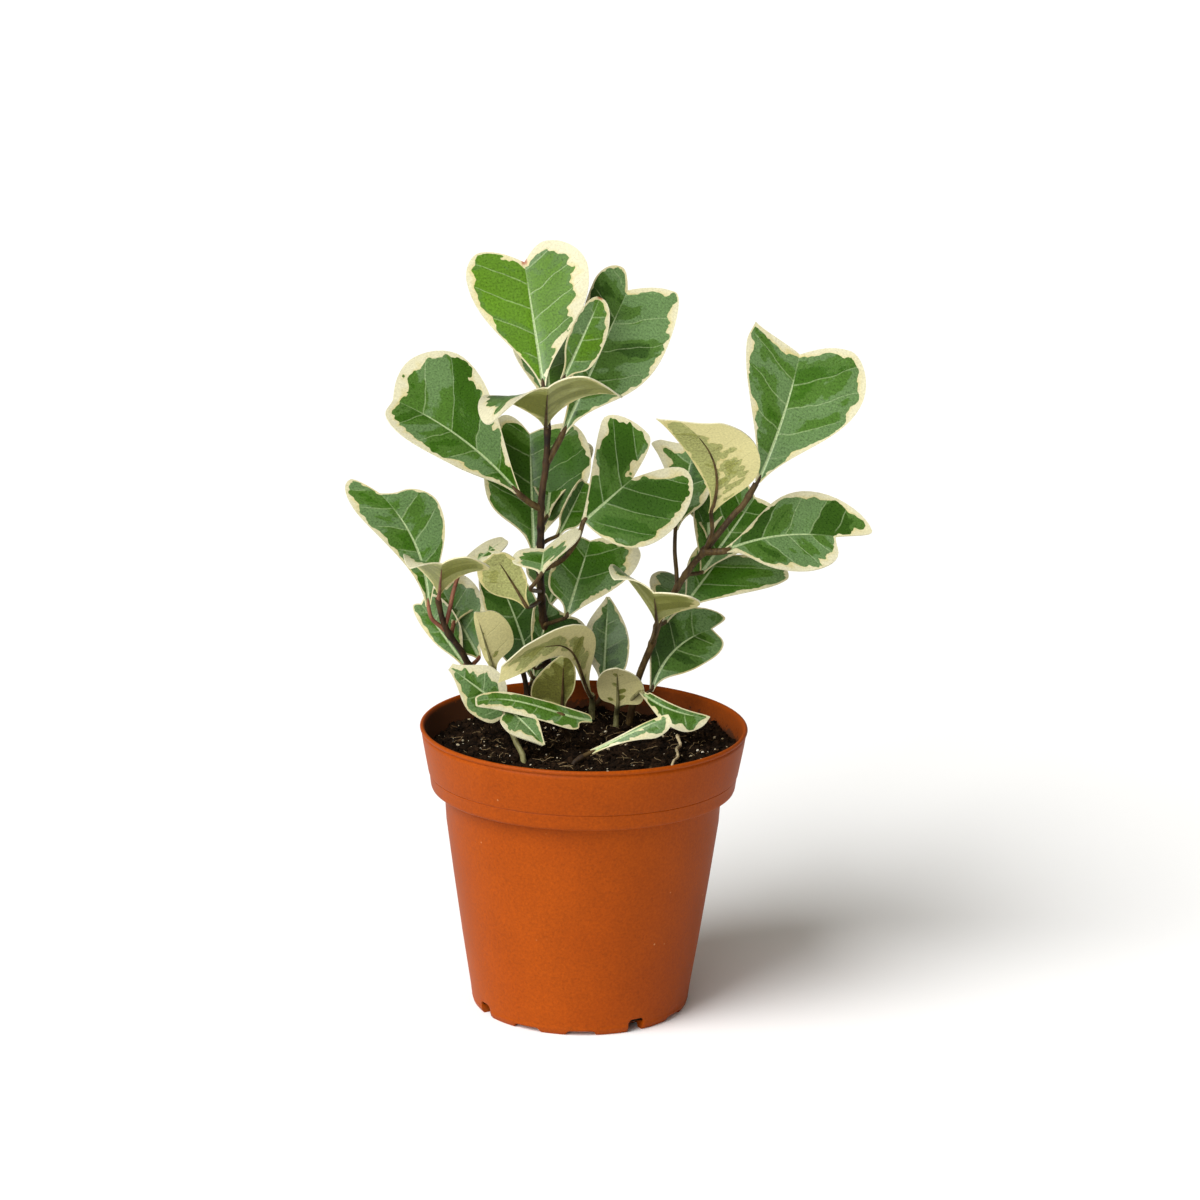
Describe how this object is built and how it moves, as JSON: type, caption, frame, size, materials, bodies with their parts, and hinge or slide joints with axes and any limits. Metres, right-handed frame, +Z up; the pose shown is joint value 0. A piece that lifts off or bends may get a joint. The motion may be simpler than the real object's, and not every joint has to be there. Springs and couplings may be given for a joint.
{
  "type": "potted triangle fig",
  "caption": "Young variegated triangle fig with green, cream-edged, wedge and heart shaped leaves on thin stems, growing in a round plastic nursery pot of soil.",
  "frame": {"origin": "on the pot's axis at the height of the table, 1 mm below the flat underside of the pot's floor", "axes": "+Z up along the pot's axis, -Y to the front that the picture shows, +X to the right of it"},
  "size_m": [0.1636, 0.1041, 0.2379],
  "materials": {
    "pot": "satin",
    "soil": "matte",
    "foliage": "satin"
  },
  "bodies": {
    "root": {"pot": "pot", "soil": "soil", "stem_centre": "foliage", "stem_left": "foliage", "stem_right": "foliage", "shoot_middle": "foliage", "shoot_upright": "foliage", "shoot_low": "foliage", "shoot_left": "foliage", "shoot_right": "foliage", "shoot_front": "foliage", "shoot_back": "foliage"}
  },
  "joints": []
}
